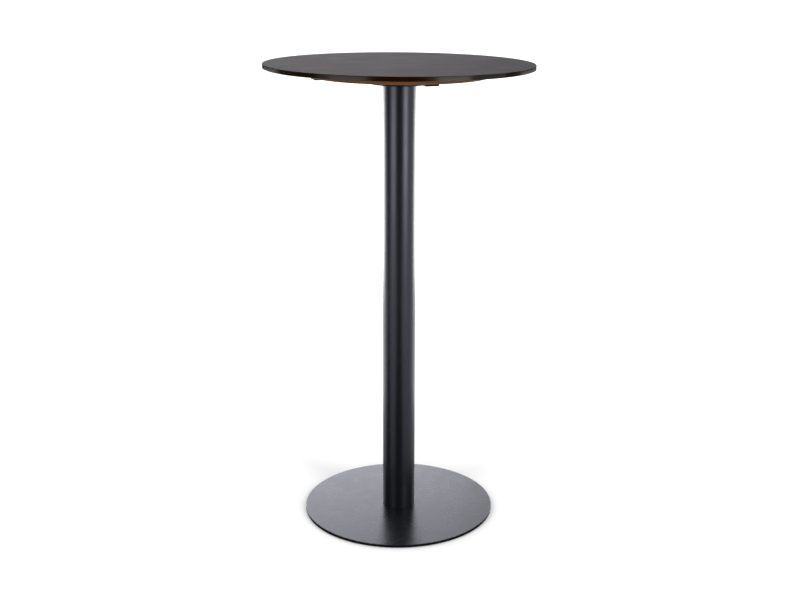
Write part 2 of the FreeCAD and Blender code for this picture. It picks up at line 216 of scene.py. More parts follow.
def choose(*objects):
    """Selects these objects alone, the last one active."""
    bpy.ops.object.select_all(action="DESELECT")
    for chosen in objects:
        chosen.select_set(True)
    if objects:
        bpy.context.view_layer.objects.active = objects[-1]


def named(name):
    """The object that an operator has just added, under its own name."""
    piece = bpy.context.object
    piece.name = name
    piece.data.name = name
    return piece


def settle(piece):
    """Puts a piece's place into its mesh, so that its object sits at the origin."""
    choose(piece)
    bpy.ops.object.transform_apply(location=True, rotation=True, scale=True)
    return piece


def turned(name, profile, sides, centre=(0.0, 0.0), bored=False):
    """A round piece drawn up through (radius, level) points. Its ends are closed, or joined by a bore."""
    radius, level = profile[0]
    choose()
    bpy.ops.mesh.primitive_circle_add(vertices=sides, radius=radius, location=(*centre, level))
    piece = named(name)
    bpy.ops.object.mode_set(mode="EDIT")
    bpy.ops.mesh.select_mode(type="EDGE")
    bpy.ops.mesh.select_all(action="SELECT")
    for next_radius, next_level in profile[1:]:
        bpy.ops.mesh.extrude_edges_move(
            TRANSFORM_OT_translate={"value": (0, 0, next_level - level)})
        growth = next_radius / radius
        bpy.ops.transform.resize(value=(growth, growth, 1), center_override=(*centre, next_level))
        radius, level = next_radius, next_level
    bpy.ops.mesh.select_all(action="DESELECT")
    bpy.ops.mesh.select_non_manifold()
    if bored:
        bpy.ops.mesh.bridge_edge_loops()
    else:
        bpy.ops.mesh.fill_holes(sides=0)
    bpy.ops.mesh.select_all(action="SELECT")
    bpy.ops.mesh.normals_make_consistent(inside=False)
    bpy.ops.object.mode_set(mode="OBJECT")
    return settle(piece)


def rod(name, radius, low, high, sides=SMALL_ROUND, centre=(0.0, 0.0)):
    """A plain round bar, used as a blank or to cut a hole."""
    return turned(name, [(radius, low), (radius, high)], sides, centre)


def block(name, size, centre):
    """A blank with flat faces."""
    choose()
    bpy.ops.mesh.primitive_cube_add(size=1, location=centre, scale=size)
    return settle(named(name))


def edit_edges(piece, chosen):
    """Opens a piece for editing, with the edges selected whose two ends pass a test."""
    choose(piece)
    bpy.ops.object.mode_set(mode="EDIT")
    bpy.ops.mesh.select_mode(type="EDGE")
    bpy.ops.mesh.select_all(action="DESELECT")
    mesh = bmesh.from_edit_mesh(piece.data)
    for edge in mesh.edges:
        edge.select_set(all(chosen(end.co) for end in edge.verts))
    bmesh.update_edit_mesh(piece.data)


def edit_faces_up(piece):
    """Opens a piece for editing, with its upward faces selected."""
    choose(piece)
    bpy.ops.object.mode_set(mode="EDIT")
    bpy.ops.mesh.select_mode(type="FACE")
    bpy.ops.mesh.select_all(action="DESELECT")
    mesh = bmesh.from_edit_mesh(piece.data)
    for face in mesh.faces:
        face.select_set(face.normal.z > 0.9)
    bmesh.update_edit_mesh(piece.data)


def on_ring(radius, level, centre=(0.0, 0.0)):
    """A test that a point lies on a level ring."""
    def test(point):
        across = math.hypot(point.x - centre[0], point.y - centre[1])
        return abs(across - radius) < TOUCH and abs(point.z - level) < TOUCH
    return test


def round_off(piece, radius, chosen, steps=4):
    """Rounds the edges that pass a test."""
    edit_edges(piece, chosen)
    bpy.ops.mesh.bevel(offset=radius, segments=steps, affect="EDGES")
    bpy.ops.object.mode_set(mode="OBJECT")


def ease(piece, radius, steps=2):
    """Rounds every sharp edge of a piece a little."""
    choose(piece)
    bpy.ops.object.modifier_add(type="BEVEL")
    modifier = piece.modifiers[-1]
    modifier.width = radius
    modifier.segments = steps
    modifier.limit_method = "ANGLE"
    modifier.angle_limit = SMOOTH_ANGLE
    bpy.ops.object.modifier_apply(modifier=modifier.name)


def cut(piece, *tools):
    """Takes the shape of each tool out of a piece, and throws the tools away."""
    for tool in tools:
        choose(piece)
        bpy.ops.object.modifier_add(type="BOOLEAN")
        modifier = piece.modifiers[-1]
        modifier.operation = "DIFFERENCE"
        modifier.solver = "EXACT"
        modifier.object = tool
        bpy.ops.object.modifier_apply(modifier=modifier.name)
        bpy.data.objects.remove(tool)
    if not piece.data.polygons:
        raise RuntimeError("%s was cut away whole" % piece.name)


def set_out(name, pattern, places):
    """Copies a pattern to its (x, y, turn) places and joins the copies into one piece."""
    copies = []
    for x, y, turn in places:
        choose(pattern)
        bpy.ops.object.duplicate()
        copy = bpy.context.object
        copy.location = (x, y, 0)
        copy.rotation_euler.z = turn
        copies.append(settle(copy))
    bpy.data.objects.remove(pattern)
    choose(*copies)
    if len(copies) > 1:
        bpy.ops.object.join()
    return named(name)


def circle(count, radius, first=0.0, twist=0.0):
    """Places spread evenly on a circle, each turned a little further than the one before."""
    angles = [first + index * 2 * math.pi / count for index in range(count)]
    return [(radius * math.cos(angle), radius * math.sin(angle), index * twist)
            for index, angle in enumerate(angles)]


def paint(piece, material, side_material=None, side_below=0.98):
    """Gives a piece its material, and its walls and arrises another if one is named."""
    piece.data.materials.clear()
    piece.data.materials.append(material)
    if side_material:
        piece.data.materials.append(side_material)
        for face in piece.data.polygons:
            face.material_index = int(abs(face.normal.z) < side_below)


def fit(piece, body, slot, *nodes):
    """Smooths a finished piece's round faces and gives it its place in the frame."""
    choose(piece)
    bpy.ops.object.shade_smooth_by_angle(angle=SMOOTH_ANGLE)
    bpy.ops.object.modifier_add(type="WEIGHTED_NORMAL")
    piece.modifiers[-1].keep_sharp = True
    bpy.ops.object.modifier_apply(modifier=piece.modifiers[-1].name)
    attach(piece, body)
    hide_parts(*nodes)


# ---------------------------------------------------------------------------
# Materials
# ---------------------------------------------------------------------------

MIX_FACTOR, MIX_A, MIX_B, MIX_COLOUR = 0, 6, 7, 2       # sockets of a Mix node set to colour
NOISE_SPAN = (0.3, 0.7)                                 # the values that a noise mostly keeps to


def add(tree, kind, inputs=(), output=0, **settings):
    """Adds a node, makes its settings, sets or links its inputs, and gives one of its outputs."""
    made = tree.nodes.new(kind)
    for name, setting in settings.items():
        setattr(made, name, setting)
    for socket, source in inputs.items() if isinstance(inputs, dict) else enumerate(inputs):
        if isinstance(source, bpy.types.NodeSocket):
            tree.links.new(source, made.inputs[socket])
        else:
            made.inputs[socket].default_value = source
    return made.outputs[output] if made.outputs else None


def begin(name):
    """An empty material, and the coordinates of the piece that wears it."""
    material = bpy.data.materials.new(name)
    material.use_nodes = True
    material.node_tree.nodes.clear()
    return material, material.node_tree, add(material.node_tree, "ShaderNodeTexCoord", output="Object")


def close(tree, **inputs):
    """Ends a material with its surface shader."""
    named_inputs = {name.replace("_", " "): source for name, source in inputs.items()}
    add(tree, "ShaderNodeOutputMaterial", (add(tree, "ShaderNodeBsdfPrincipled", named_inputs),))


def patches(tree, place, size, detail=2.0, stretch=(1, 1, 1), roughness=0.5):
    """Cloudy patches about a size across, in metres, drawn out along the axes."""
    scale = tuple(1 / (size * factor) for factor in stretch)
    fitted = add(tree, "ShaderNodeMapping", {"Vector": place, "Scale": scale})
    return add(tree, "ShaderNodeTexNoise", {"Vector": fitted, "Scale": 1.0, "Detail": detail,
                                            "Roughness": roughness})


def toned(tint, factor):
    """A colour made lighter or darker."""
    return (*(min(1.0, channel * factor) for channel in tint[:3]), 1.0)


def mottled(tree, pattern, tint, dark, light):
    """A colour that runs from a darker to a lighter tone with a pattern."""
    tones = {MIX_FACTOR: pattern, MIX_A: toned(tint, dark), MIX_B: toned(tint, light)}
    return add(tree, "ShaderNodeMix", tones, MIX_COLOUR, data_type="RGBA")


def along_edge(tree, place, node):
    """Coordinates that run round a disc's edge and up it, and the two that run across the disc."""
    across, depth, level = add(tree, "ShaderNodeSeparateXYZ", (place,)).node.outputs
    angle = add(tree, "ShaderNodeMath", (depth, across), operation="ARCTAN2")
    run = add(tree, "ShaderNodeMath", (angle, radius_of(node)), operation="MULTIPLY")
    return add(tree, "ShaderNodeCombineXYZ", {"X": run, "Z": level}), across, depth, level


def laminate_face(top):
    """Compact laminate pressed on a fine pearl plate: a satin face with faint clouds in its sheen."""
    material, tree, place = begin("compact_laminate_face")
    clouds = patches(tree, place, 0.045, detail=4.0)
    pearl = patches(tree, place, 0.0012)                # coarser than the real 0.3 mm, to show
    strong_clouds = add(tree, "ShaderNodeMapRange", (clouds, *NOISE_SPAN, 0.0, 1.0))
    rough = (top.face_roughness - 0.03, top.face_roughness + 0.03)
    close(tree, Base_Color=mottled(tree, strong_clouds, top.face_colour, 0.85, 1.15),
          Roughness=add(tree, "ShaderNodeMapRange", (clouds, *NOISE_SPAN, *rough)),
          Specular_IOR_Level=0.15,
          Normal=add(tree, "ShaderNodeBump", {"Height": pearl, "Distance": 0.00002, "Strength": 0.6}))
    return material


def laminate_edge(top):
    """Milled and waxed core of kraft paper and resin: brown black, with the cutter's upright marks."""
    material, tree, place = begin("compact_laminate_edge")
    along = along_edge(tree, place, "table_top")[0]
    marks = patches(tree, along, 0.0016, stretch=(1, 1, 12))
    papers = patches(tree, along, 0.0004, detail=1.0, stretch=(60, 1, 1))
    close(tree, Base_Color=mottled(tree, papers, top.edge_colour, 0.8, 1.25),
          Roughness=add(tree, "ShaderNodeMapRange", (marks, *NOISE_SPAN, 0.16, 0.2)),
          Specular_IOR_Level=0.13,
          Normal=add(tree, "ShaderNodeBump", {"Height": marks, "Distance": 0.00002, "Strength": 0.5}))
    return material


def plywood_edge(top):
    """Sawn and sanded hardwood plywood: long grain and end grain take turns between dark glue lines."""
    material, tree, place = begin("hardwood_plywood_edge")
    low, high = levels_of("backing_disc")
    along, across, depth, level = along_edge(tree, place, "backing_disc")
    above = add(tree, "ShaderNodeMath", (level, low), operation="SUBTRACT")
    layer = add(tree, "ShaderNodeMath", (above, (high - low) / top.ply_count), operation="DIVIDE")
    count = add(tree, "ShaderNodeMath", (layer,), operation="FLOOR")
    odd = add(tree, "ShaderNodeMath", (count, 2.0), operation="MODULO")
    across_squared = add(tree, "ShaderNodeMath", (across, across), operation="MULTIPLY")
    depth_squared = add(tree, "ShaderNodeMath", (depth, depth), operation="MULTIPLY")
    both_squared = add(tree, "ShaderNodeMath", (across_squared, depth_squared), operation="ADD")
    facing = add(tree, "ShaderNodeMath", (across_squared, both_squared), operation="DIVIDE")
    turn = add(tree, "ShaderNodeMath", (odd, facing), operation="SUBTRACT")
    end_share = add(tree, "ShaderNodeMath", (turn,), operation="ABSOLUTE")
    streaks = patches(tree, along, 0.0005, detail=3.0, stretch=(30, 1, 1))
    pores = patches(tree, along, 0.0006, stretch=(2, 1, 1))
    wood = add(tree, "ShaderNodeMix",
               {MIX_FACTOR: end_share, MIX_A: mottled(tree, streaks, top.wood_colour, 0.8, 1.2),
                MIX_B: mottled(tree, pores, top.cross_colour, 0.7, 1.3)},
               MIX_COLOUR, data_type="RGBA")
    share_up = add(tree, "ShaderNodeMath", (layer,), operation="FRACT")
    off_middle = add(tree, "ShaderNodeMath", (share_up, 0.5), operation="SUBTRACT")
    near_joint = add(tree, "ShaderNodeMath", (off_middle,), operation="ABSOLUTE")
    glue = add(tree, "ShaderNodeMapRange", (near_joint, 0.42, 0.48, 0.0, 1.0))
    tone = add(tree, "ShaderNodeMix", {MIX_FACTOR: glue, MIX_A: wood, MIX_B: top.glue_colour},
               MIX_COLOUR, data_type="RGBA")
    close(tree, Base_Color=tone, Roughness=0.75, Specular_IOR_Level=0.2,
          Normal=add(tree, "ShaderNodeBump", {"Height": pores, "Distance": 0.0001, "Strength": 0.7}))
    return material


def plywood_face(top):
    """Rotary-cut hardwood veneer, sanded and unfinished: long soft figure with short dark pores."""
    material, tree, place = begin("hardwood_plywood_face")
    figure = patches(tree, place, 0.012, detail=5.0, stretch=(14, 1, 1), roughness=0.6)
    pores = patches(tree, place, 0.0009, stretch=(9, 1, 1))
    strong_figure = add(tree, "ShaderNodeMapRange", (figure, *NOISE_SPAN, 0.0, 1.0))
    open_pores = add(tree, "ShaderNodeMapRange", (pores, 0.55, 0.75, 0.0, 0.35))
    wood = mottled(tree, strong_figure, top.wood_colour, 0.82, 1.22)
    tone = add(tree, "ShaderNodeMix", {MIX_FACTOR: open_pores, MIX_A: wood, MIX_B: top.cross_colour},
               MIX_COLOUR, data_type="RGBA")
    close(tree, Base_Color=tone, Roughness=0.7,
          Normal=add(tree, "ShaderNodeBump", {"Height": pores, "Distance": 0.00005, "Strength": 0.6}))
    return material


def powder_coat(name, steel, tint, roughness, grain):
    """Black powder coat, baked on: even small grains that blur what they reflect."""
    material, tree, place = begin(name)
    grains = patches(tree, place, 0.0014, detail=3.0)   # coarser than the real 0.4 mm, to show
    flow = patches(tree, place, 0.03, detail=3.0)
    rough = (roughness - 0.02, roughness + 0.02)
    close(tree, Base_Color=mottled(tree, flow, steel.coat_colour, 0.9, 1.1),
          Roughness=add(tree, "ShaderNodeMapRange", (flow, *NOISE_SPAN, *rough)), Specular_Tint=tint,
          Normal=add(tree, "ShaderNodeBump", {"Height": grains, "Distance": 0.00005, "Strength": grain}))
    return material


def spider_paint(steel):
    """Matt black dip paint on flat bar and turned steel, with the faint drag of the rolled surface."""
    material, tree, place = begin("black_dip_paint")
    drag = patches(tree, place, 0.002, detail=3.0)
    close(tree, Base_Color=mottled(tree, drag, steel.paint_colour, 0.8, 1.3),
          Roughness=add(tree, "ShaderNodeMapRange", (drag, *NOISE_SPAN, 0.4, 0.5)),
          Specular_IOR_Level=0.07,
          Normal=add(tree, "ShaderNodeBump", {"Height": drag, "Distance": 0.00004, "Strength": 0.5}))
    return material


def bare_metal(name, code, roughness, size, metallic=1.0):
    """Metal with a thin plated or turned surface: a soft sheen that varies from spot to spot."""
    material, tree, place = begin(name)
    spots = patches(tree, place, size, detail=3.0)
    rough = (roughness - 0.05, roughness + 0.05)
    close(tree, Base_Color=mottled(tree, spots, linear(code), 0.85, 1.1), Metallic=metallic,
          Roughness=add(tree, "ShaderNodeMapRange", (spots, *NOISE_SPAN, *rough)),
          Normal=add(tree, "ShaderNodeBump", {"Height": spots, "Distance": 0.00001, "Strength": 0.4}))
    return material


def nylon():
    """Black moulded nylon: a dull skin with the fine spark texture of its mould."""
    material, tree, place = begin("moulded_nylon")
    skin = patches(tree, place, 0.0006)
    close(tree, Base_Color=mottled(tree, skin, linear("161616"), 0.8, 1.3),
          Roughness=add(tree, "ShaderNodeMapRange", (skin, *NOISE_SPAN, 0.5, 0.65)),
          Normal=add(tree, "ShaderNodeBump", {"Height": skin, "Distance": 0.00003, "Strength": 0.6}))
    return material


# ---------------------------------------------------------------------------
# Screws
# ---------------------------------------------------------------------------

RECESS_WING = 0.42                      # width of a recess's wings, as a share of its reach
RECESS_TAPER = 0.45                     # share of its size that a wing keeps at its bottom
PAN_ROUND = 0.55                        # rounding of a pan head, as a share of its height
PAN_REACH, PAN_DEPTH = 0.5, 0.6         # recess in a pan head, as shares of its radius and its height
FLAT_REACH, FLAT_DEPTH = 0.55, 0.45     # recess in a countersunk head, as shares of its radius
FLAT_RIM = 0.06                         # straight rim of a countersunk head, as a share of its radius
POINT = 0.4                             # radius of a screw's blunt point, as a share of its shank's
SOCKET_SIZE, SOCKET_DEPTH = 0.72, 0.7   # hexagon socket, as shares of the thread's radius


def cross_recess(head_level, reach, depth):
    """The two tools that cut a cross recess up into a screw head."""
    width = reach * RECESS_WING
    tools = []
    for size in ((2 * reach, width), (width, 2 * reach)):
        tool = block("recess_tool", (*size, depth + OVERSHOOT),
                     (0, 0, head_level + (depth - OVERSHOOT) / 2))
        edit_faces_up(tool)
        bpy.ops.transform.resize(value=(RECESS_TAPER, RECESS_TAPER, 1),
                                 center_override=(0, 0, head_level + depth))
        bpy.ops.object.mode_set(mode="OBJECT")
        tools.append(tool)
    return tools


def countersunk_screw(level, head, shank, reach):
    """A countersunk screw that points up, its flat head at a level."""
    rim = head * FLAT_RIM
    taper = level + rim + head - shank
    profile = [(head, level), (head, level + rim), (shank, taper), (shank, level + reach - shank),
               (shank * POINT, level + reach)]
    return turned("screw_pattern", profile, SMALL_ROUND)


# ---------------------------------------------------------------------------
# Pieces
# ---------------------------------------------------------------------------

class PUBTABLE_OT_laminate_top(bpy.types.Operator):
    """Laminate panel with rounded arrises and blind holes for the inserts"""

    bl_idname = "pub_table.laminate_top"
    bl_label = "Laminate Top"

    def execute(self, context):
        top = context.scene.pub_table_top
        fixings = context.scene.pub_table_fixings
        low, high = levels_of("table_top")
        radius = radius_of("table_top")
        panel = rod("laminate_top", radius, low, high, LARGE_ROUND)
        round_off(panel, top.arris, on_ring(radius, low))
        round_off(panel, top.arris, on_ring(radius, high))
        hole = rod("hole_tool", fixings.insert_radius, low - OVERSHOOT, low + fixings.insert_depth)
        cut(panel, set_out("holes_tool", hole, top_screw_places(fixings)))
        paint(panel, laminate_face(top), laminate_edge(top))
        fit(panel, TABLE, "black_laminate", "table_top")
        return {"FINISHED"}


def arm_angle(name):
    """The angle at which an arm points."""
    middle = middle_of("spider_arm_" + name)
    return math.atan2(middle.y, middle.x)


def top_screw_places(fixings, twist=0.0):
    """Places of the top screws, two in each gap between the arms."""
    count = 2 * len(ARMS)
    first = arm_angle(ARMS[0]) + math.pi / count
    return circle(count, fixings.top_screw_circle, first, twist)


class PUBTABLE_OT_plywood_disc(bpy.types.Operator):
    """Plywood disc with stepped veneers on its cut edge and seats for the top screws"""

    bl_idname = "pub_table.plywood_disc"
    bl_label = "Plywood Disc"

    def execute(self, context):
        top = context.scene.pub_table_top
        fixings = context.scene.pub_table_fixings
        low, high = levels_of("backing_disc")
        radius = radius_of("backing_disc")
        ply = (high - low) / top.ply_count
        profile = [(top.bore, low)]
        for layer in range(top.ply_count):
            edge = radius - top.ply_step * (layer % 2)
            profile += [(edge, low + layer * ply), (edge, low + (layer + 1) * ply)]
        profile.append((top.bore, high))
        disc = turned("plywood_disc", profile, LARGE_ROUND, bored=True)
        round_off(disc, top.ply_arris, on_ring(radius, low))
        places = top_screw_places(fixings)
        seat = rod("seat_tool", fixings.seat_radius, low - OVERSHOOT, low + fixings.seat_depth)
        through = rod("through_tool", fixings.top_screw_shank + fixings.hole_gap,
                      low - OVERSHOOT, high + OVERSHOOT)
        cut(disc, set_out("seats_tool", seat, places), set_out("throughs_tool", through, places))
        paint(disc, plywood_face(top), plywood_edge(top))
        fit(disc, TABLE, "plywood", "backing_disc")
        return {"FINISHED"}


class PUBTABLE_OT_top_screws(bpy.types.Operator):
    """Pan head screws with cross recesses, seated in the plywood disc"""

    bl_idname = "pub_table.top_screws"
    bl_label = "Top Screws"

    def execute(self, context):
        fixings = context.scene.pub_table_fixings
        head = fixings.top_screw_head
        low = levels_of("top_screws")[0]
        seat = low + fixings.top_screw_rise
        shank = fixings.top_screw_shank
        profile = [(head, low), (head, seat), (shank, seat), (shank, seat + fixings.top_screw_grip)]
        screw = turned("screw_pattern", profile, SMALL_ROUND)
        round_off(screw, fixings.top_screw_rise * PAN_ROUND, on_ring(head, low))
        cut(screw, *cross_recess(low, head * PAN_REACH, fixings.top_screw_rise * PAN_DEPTH))
        screws = set_out("pan_head_screws", screw, top_screw_places(fixings, SCREW_TWIST))
        paint(screws, bare_metal("zinc_plate", "b9bcc2", 0.32, 0.001))
        fit(screws, TABLE, "zinc_screws", "top_screws")
        return {"FINISHED"}


class PUBTABLE_OT_spider(bpy.types.Operator):
    """Hub and its four flat arms, with holes for their bolts and screws"""

    bl_idname = "pub_table.spider"
    bl_label = "Spider"

    def execute(self, context):
        steel = context.scene.pub_table_steel
        fixings = context.scene.pub_table_fixings
        black = spider_paint(steel)
        bolt_hole = fixings.hub_bolt_shank + fixings.hole_gap
        low, high = levels_of("spider_hub")
        radius = radius_of("spider_hub")
        hub = turned("hub", [(steel.hub_bore, low), (radius, low), (radius, high),
                             (steel.hub_bore, high)], TUBE_ROUND, bored=True)
        round_off(hub, steel.hub_arris, on_ring(radius, low))
        hole = rod("hole_tool", bolt_hole, low - OVERSHOOT, high + OVERSHOOT)
        places = circle(len(ARMS), fixings.hub_bolt_circle, arm_angle(ARMS[0]))
        cut(hub, set_out("holes_tool", hole, places))
        paint(hub, black)
        fit(hub, TABLE, "black_steel", "spider_hub")
        for name in ARMS:
            arm = make_arm(name, steel, fixings, bolt_hole)
            paint(arm, black)
            fit(arm, TABLE, "black_steel", "spider_arm_" + name)
        return {"FINISHED"}


def make_arm(name, steel, fixings, bolt_hole):
    """One flat arm, made along X and then turned to its angle."""
    low, high = levels_of("spider_arm_" + name)
    reach, root = steel.arm_reach, steel.arm_root
    arm = block("arm_" + name, (reach - root, steel.arm_width, high - low),
                ((reach + root) / 2, 0, (low + high) / 2))
    round_off(arm, steel.arm_corner, lambda point: abs(point.x - reach) < TOUCH)
    cut(arm, rod("bolt_tool", bolt_hole, low - OVERSHOOT, high + OVERSHOOT,
                 centre=(fixings.hub_bolt_circle, 0)))
    head = fixings.arm_screw_head + fixings.thread_gap * 2
    shank = fixings.arm_screw_shank + fixings.hole_gap
    sink = [(head, low - OVERSHOOT), (head, low), (shank, low + head - shank),
            (shank, high + OVERSHOOT)]
    for place in (fixings.arm_screw_inner, fixings.arm_screw_outer):
        cut(arm, turned("sink_tool", sink, SMALL_ROUND, centre=(place, 0)))
    ease(arm, steel.arm_arris)
    arm.rotation_euler.z = arm_angle(name)
    return settle(arm)


class PUBTABLE_OT_arm_screws(bpy.types.Operator):
    """Countersunk wood screws with cross recesses, two in each arm"""

    bl_idname = "pub_table.arm_screws"
    bl_label = "Arm Screws"

    def execute(self, context):
        fixings = context.scene.pub_table_fixings
        low = levels_of("arm_screws")[0]
        head = fixings.arm_screw_head
        screw = countersunk_screw(low, head, fixings.arm_screw_shank, fixings.arm_screw_length)
        cut(screw, *cross_recess(low, head * FLAT_REACH, head * FLAT_DEPTH))
        places = []
        for radius in (fixings.arm_screw_inner, fixings.arm_screw_outer):
            places += circle(len(ARMS), radius, arm_angle(ARMS[0]), SCREW_TWIST)
        screws = set_out("wood_screws", screw, places)
        paint(screws, bare_metal("black_oxide", "2a2a2c", 0.38, 0.001, metallic=0.8))
        fit(screws, TABLE, "black_screws", "arm_screws")
        return {"FINISHED"}


class PUBTABLE_OT_column(bpy.types.Operator):
    """Round tube with deburred ends"""

    bl_idname = "pub_table.column"
    bl_label = "Column"

    def execute(self, context):
        steel = context.scene.pub_table_steel
        low, high = levels_of("column_tube")
        outer = radius_of("column_tube")
        inner = outer - steel.wall
        tube = turned("column", [(inner, low), (outer, low), (outer, high), (inner, high)],
                      TUBE_ROUND, bored=True)
        for radius in (inner, outer):
            for level in (low, high):
                round_off(tube, steel.tube_arris, on_ring(radius, level), steps=2)
        paint(tube, powder_coat("powder_coat_column", steel, steel.tube_tint,
                                steel.tube_roughness, steel.tube_grain))
        fit(tube, TABLE, "powder_coat_column", "column_tube")
        return {"FINISHED"}


class PUBTABLE_OT_base(bpy.types.Operator):
    """Round plate with rounded edges, countersunk for its screws and drilled for the glides"""

    bl_idname = "pub_table.base"
    bl_label = "Base Plate"

    def execute(self, context):
        steel = context.scene.pub_table_steel
        fixings = context.scene.pub_table_fixings
        low, high = levels_of("base_plate")
        radius = radius_of("base_plate")
        plate = rod("base_disc", radius, low, high, LARGE_ROUND)
        round_off(plate, steel.plate_arris, on_ring(radius, high))
        round_off(plate, steel.under_arris, on_ring(radius, low), steps=2)
        head = fixings.base_screw_head + 2 * fixings.thread_gap
        shank = fixings.base_screw_shank + fixings.hole_gap
        sink = turned("sink_tool", [(head, low - OVERSHOOT), (head, low), (shank, low + head - shank),
                                    (shank, high + OVERSHOOT)], SMALL_ROUND)
        stem_hole = rod("stem_tool", fixings.stem_radius + fixings.thread_gap,
                        low - OVERSHOOT, low + fixings.stem_engaged)
        stems = [(middle_of("glide_stem_%d" % number).x, middle_of("glide_stem_%d" % number).y, 0)
                 for number in GLIDES]
        cut(plate, set_out("sinks_tool", sink, base_screw_places(fixings)),
            set_out("stems_tool", stem_hole, stems))
        paint(plate, powder_coat("powder_coat_base", steel, steel.plate_tint,
                                 steel.plate_roughness, steel.plate_grain))
        fit(plate, TABLE, "powder_coat_base", "base_plate")
        return {"FINISHED"}


def base_screw_places(fixings, twist=0.0):
    """Places of the base screws, in line with the glides."""
    first = middle_of("glide_pad_1")
    return circle(4, fixings.base_screw_circle, math.atan2(first.y, first.x), twist)


class PUBTABLE_OT_base_screws(bpy.types.Operator):
    """Countersunk screws with hexagon sockets, up through the base plate"""

    bl_idname = "pub_table.base_screws"
    bl_label = "Base Screws"

    def execute(self, context):
        fixings = context.scene.pub_table_fixings
        low = levels_of("base_screws")[0]
        shank = fixings.base_screw_shank
        screw = countersunk_screw(low, fixings.base_screw_head, shank, fixings.base_screw_length)
        socket = rod("socket_tool", shank * SOCKET_SIZE, low - OVERSHOOT, low + shank * SOCKET_DEPTH,
                     sides=6)
        cut(screw, socket)
        screws = set_out("socket_screws", screw, base_screw_places(fixings, SCREW_TWIST))
        paint(screws, bare_metal("zinc_plate_base", "b9bcc2", 0.34, 0.001))
        fit(screws, TABLE, "zinc_screws", "base_screws")
        return {"FINISHED"}


DISH_DEPTH = 0.15                       # dish under a glide pad, as a share of the pad's height
DISH_BOTTOM, DISH_RIM = 0.50, 0.53      # its radii, as shares of the pad's


class PUBTABLE_OT_glide_pads(bpy.types.Operator):
    """Moulded pads with a rounded rim, a seat for the stem's head and a shallow dish below"""

    bl_idname = "pub_table.glide_pads"
    bl_label = "Glide Pads"

    def execute(self, context):
        fixings = context.scene.pub_table_fixings
        black = nylon()
        seat = fixings.stem_head_radius + fixings.thread_gap
        for number in GLIDES:
            node = "glide_pad_%d" % number
            low, high = levels_of(node)
            radius = radius_of(node)
            middle = middle_of(node)
            centre = (middle.x, middle.y)
            dish = low + (high - low) * DISH_DEPTH
            profile = [(radius * DISH_BOTTOM, dish), (radius * DISH_RIM, low), (radius, low),
                       (radius, high), (seat, high), (seat, high - fixings.stem_head_rise)]
            pad = turned("pad_%d" % number, profile, SMALL_ROUND * 2, centre)
            round_off(pad, fixings.pad_arris, on_ring(radius, low, centre))
            paint(pad, black)
            fit(pad, "glide_%d" % number, "black_nylon", node)
        return {"FINISHED"}


class PUBTABLE_OT_inner_parts(bpy.types.Operator):
    """Finishes of the inserts, bolts, washers, stems and end plates, which keep the frame's shapes"""

    bl_idname = "pub_table.inner_parts"
    bl_label = "Inner Parts"

    def execute(self, context):
        zinc = bare_metal("zinc_plate_inner", "b4b8bf", 0.34, 0.001)
        steel = bare_metal("mill_steel", "85868a", 0.45, 0.002)
        brass = bare_metal("turned_brass", "c9a566", 0.28, 0.0008)
        finishes = {"top_inserts": brass, "hub_bolts": zinc, "hub_washers": zinc,
                    "column_head_plate": steel, "column_foot_plate": steel}
        finishes.update({"glide_stem_%d" % number: zinc for number in GLIDES})
        for node, material in finishes.items():
            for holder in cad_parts[node].material_slots:
                holder.material = material
        return {"FINISHED"}


# ---------------------------------------------------------------------------
# Stage
# ---------------------------------------------------------------------------

# The black is the flags' cloth, and also the painted shade of the grey mat's ring.
FLOOR_COLOUR, CLOTH_AND_SHADE_COLOUR = "f0f0f0", "050505"
FLOOR_SIZE = 120.0                      # reaches past the horizon of the picture
FLOOR_SINK = 0.0002                     # keeps the floor just clear of the glide pads
FLOOR_EDGE = 0.006                      # how far inside the base's edge the floor fades out under it
GLOW_START, GLOW_END = 0.2, 1.0         # distances over which the floor fades into the white background
GLOW = 0.75                             # how much of the far floor's white doesn't need the lamps

# Name, what it lights, azimuth in degrees, distance, height, height it faces, width and height,
# brightness. Azimuths count from the camera's side, and a brightness of 1 is the background's white.
LAMPS = (
    ("left_box", "things", -44, 2.4, 1.2, 1.2, (0.6, 1.8), 8.8),
    ("right_box", "things", 43, 2.4, 1.2, 1.2, (0.6, 1.8), 12.5),
    ("back_box", "both", -157.5, 9.0, 3.35, 0.0, (9.6, 2.4), 4.25),
    ("left_strip", "sheens", -40.5, 2.3, 0.58, 0.58, (1.15, 0.5), 6.8),
    ("right_strip", "sheens", 42, 2.3, 0.61, 0.61, (1.1, 0.5), 10.4),
    ("left_rim", "sheens", -135, 1.8, 0.47, 0.97, (1.5, 0.77), 6.8),
    ("right_rim", "sheens", 135, 1.8, 0.47, 0.97, (1.5, 0.77), 6.8),
    ("left_tray", "sheens", -135, 1.15, 0.01, 999.0, (1.2, 1.0), 1.0),
    ("right_tray", "sheens", 135, 1.15, 0.01, 999.0, (1.2, 1.0), 1.0),
)

CARD_DISTANCE = 2.4
CARD_TOP = 2.4                          # height of the cards' upper edges
CARDS = (                               # azimuth in degrees, width and height of the lower edge
    (0, 1.95, 0.0),
    (-78, 1.0, 0.0),
    (-125, 3.6, 0.65),
    (125, 3.2, 0.65),
)
OVAL_MATS = ((0, 0.8), (-78, 0.5))      # azimuth and width of the mats that run out to a card
OVAL_GAP = 0.01                         # how far they stay off the base
RING_WIDTH = 0.03                       # width of the black ring of painted contact shadow about the base
GREY_SHADE = 0.4                        # how dark the grey mat of painted floor shade is, until it fades out
GREY_START, GREY_END = 1.2, 3.4         # distances over which it fades


